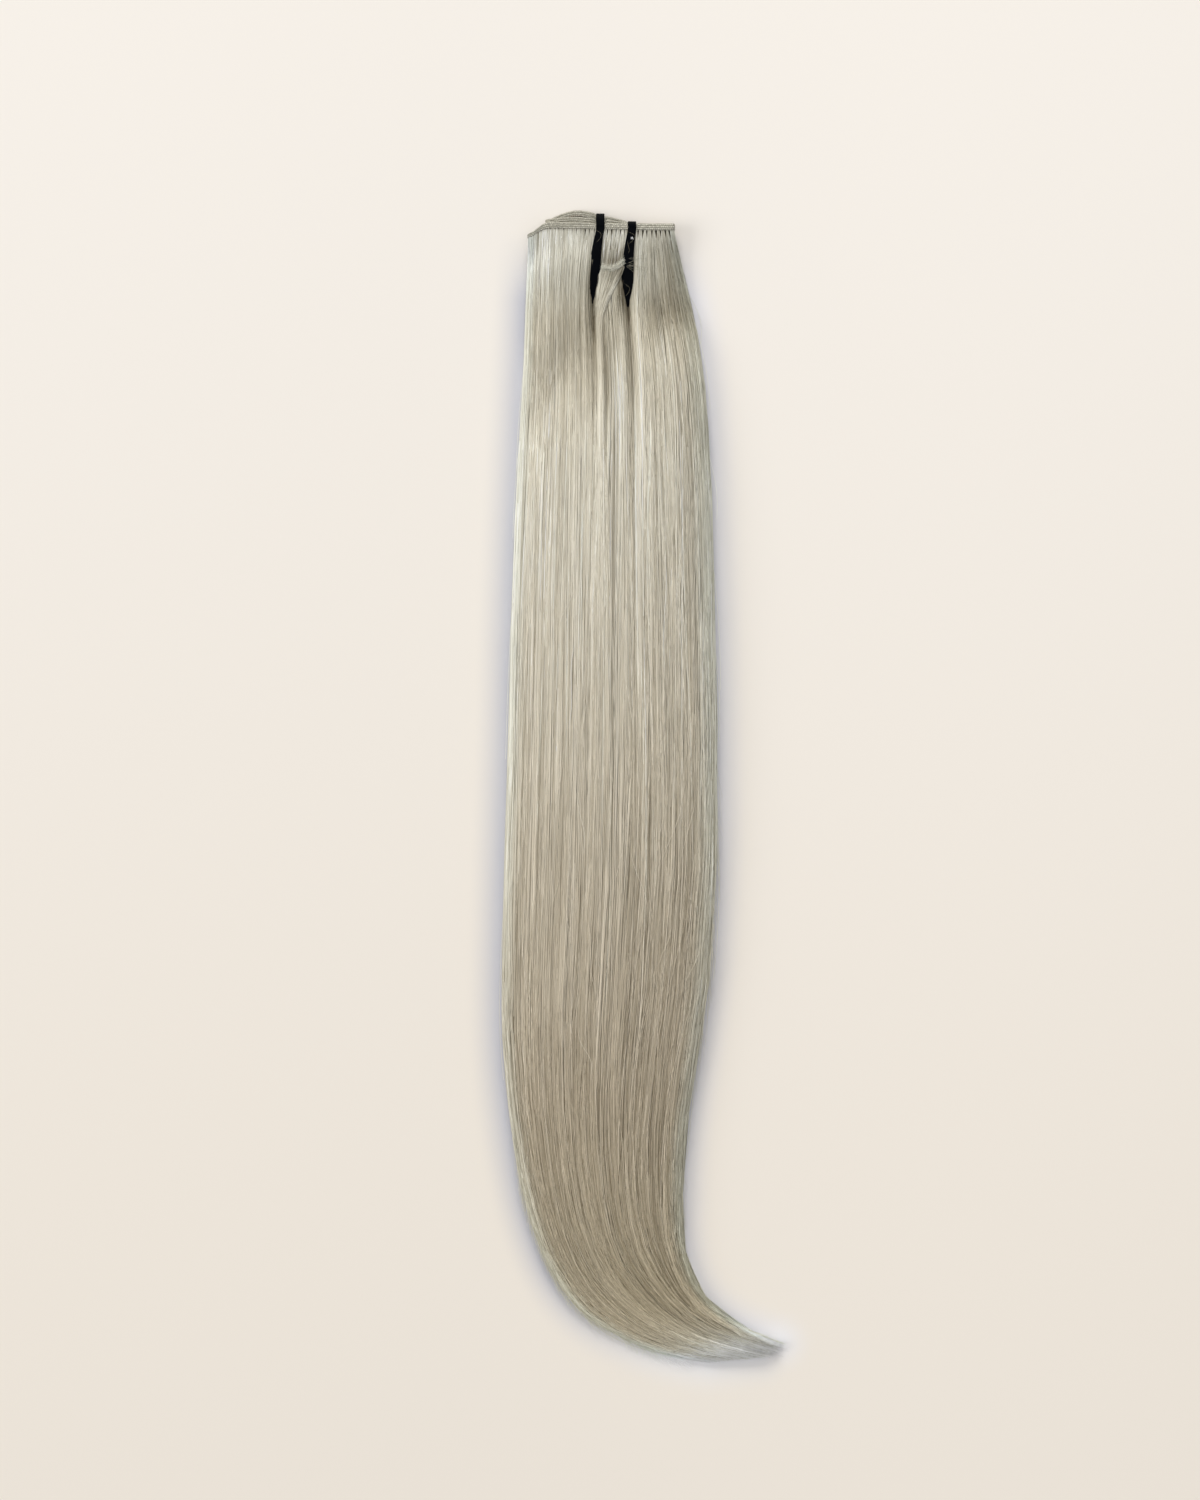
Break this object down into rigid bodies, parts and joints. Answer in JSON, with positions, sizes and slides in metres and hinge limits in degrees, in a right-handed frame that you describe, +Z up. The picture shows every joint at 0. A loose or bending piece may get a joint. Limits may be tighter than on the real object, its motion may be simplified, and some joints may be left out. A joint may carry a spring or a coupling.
{
  "type": "folded hair weft bundle",
  "caption": "Straight machine-sewn hair weft, folded at its stitched track, combed into one fall that curls sideways at the tips, with flat black ties looped through it.",
  "frame": {"origin": "middle of the bundle's box at table height", "axes": "+X across the weft, +Y from the hair tips to the sewn track, +Z up from the table the bundle lies on"},
  "size_m": [0.1374, 0.5748, 0.0209],
  "materials": {
    "hair": "silky ash blonde hair",
    "track": "sewn thread over hair roots",
    "tie": "black flat elastic"
  },
  "bodies": {
    "root": {"weft_track": "track", "hair_front": "hair", "hair_second": "hair", "hair_third": "hair", "hair_back": "hair", "tie_left": "tie", "tie_right": "tie"}
  },
  "joints": []
}
